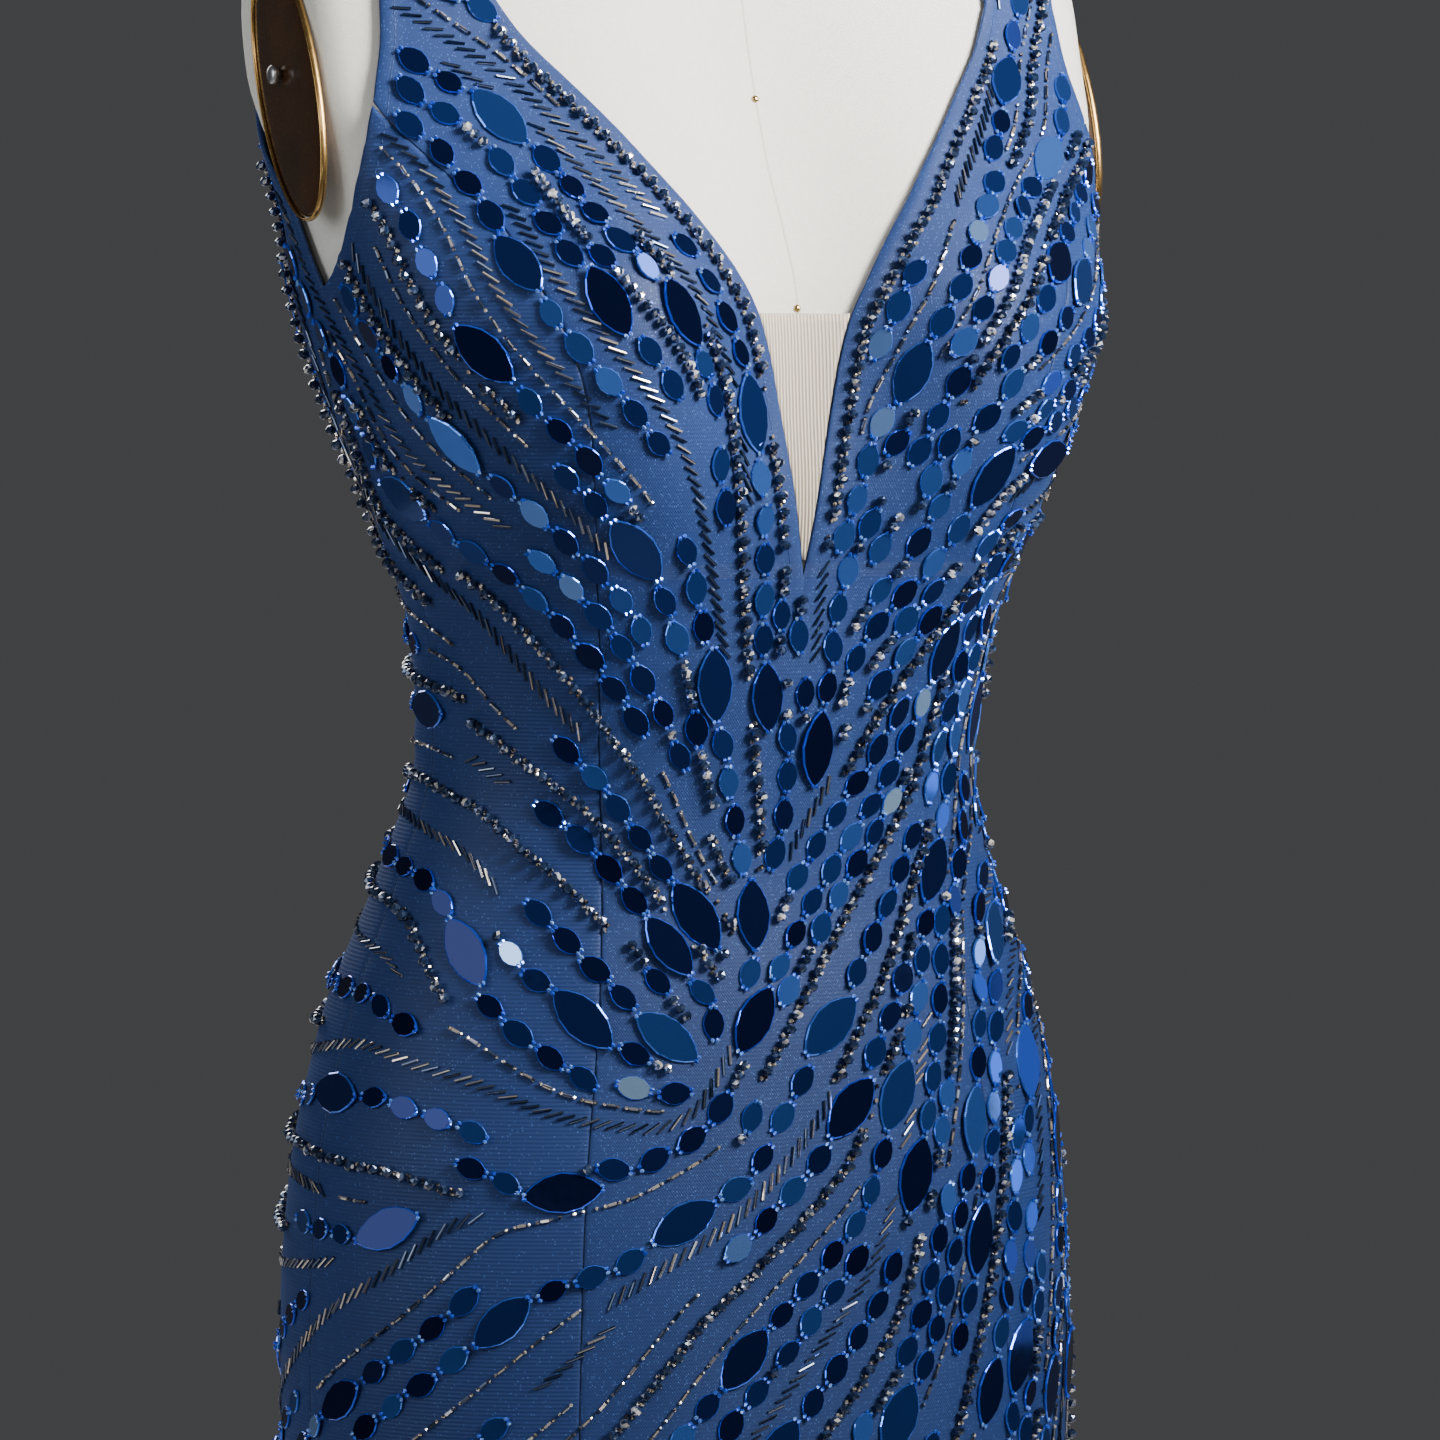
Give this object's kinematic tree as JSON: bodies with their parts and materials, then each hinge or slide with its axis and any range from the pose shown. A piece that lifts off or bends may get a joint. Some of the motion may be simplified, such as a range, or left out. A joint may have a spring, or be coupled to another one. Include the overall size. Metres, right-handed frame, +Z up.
{
  "type": "evening gown on a dress form",
  "caption": "Sleeveless fitted gown with a deep V neck, princess seams and a fluted flared hem, on a limbless dress form with a pole and a round base.",
  "frame": {"origin": "on the floor, under the middle of the round base", "axes": "+Z up the form, -Y the way the gown faces, +X the wearer's left"},
  "size_m": [0.5828, 0.5926, 1.512],
  "materials": {
    "gown_cloth": "satin-backed stretch cloth under glitter tulle",
    "beige_mesh": "ribbed power mesh",
    "form_cotton": "plain woven cotton",
    "bronze_gloss": "polished brown",
    "brass_trim": "polished",
    "knob_steel": "satin",
    "base_iron": "black lacquer",
    "zip_metal": "blue lacquer",
    "mirror_stones": "blue mirror face with a bevelled rim",
    "crystal_beads": "smoky faceted crystal",
    "bugle_beads": "silver-lined glass"
  },
  "bodies": {
    "gown_on_form": {"front_centre": "gown_cloth", "side_front_left": "gown_cloth", "side_front_right": "gown_cloth", "back_left": "gown_cloth", "back_right": "gown_cloth", "mesh_insert": "beige_mesh", "zip_slider": "zip_metal", "form_torso": "form_cotton", "neck_cap": "bronze_gloss", "arm_plate_left": "bronze_gloss", "arm_plate_right": "bronze_gloss", "plate_rim_left": "brass_trim", "plate_rim_right": "brass_trim", "plate_knob_left": "knob_steel", "plate_knob_right": "knob_steel", "pole": "knob_steel", "base_disc": "base_iron"},
    "pull_tab": {"zip_pull": "zip_metal"}
  },
  "joints": [
    {"name": "zip_pull_hinge", "type": "hinge", "parent": "gown_on_form", "child": "pull_tab", "pos_m": [0, 0.10811, 1.20033], "axis": [1, 0, 0], "range_deg": [-8, 150]}
  ]
}
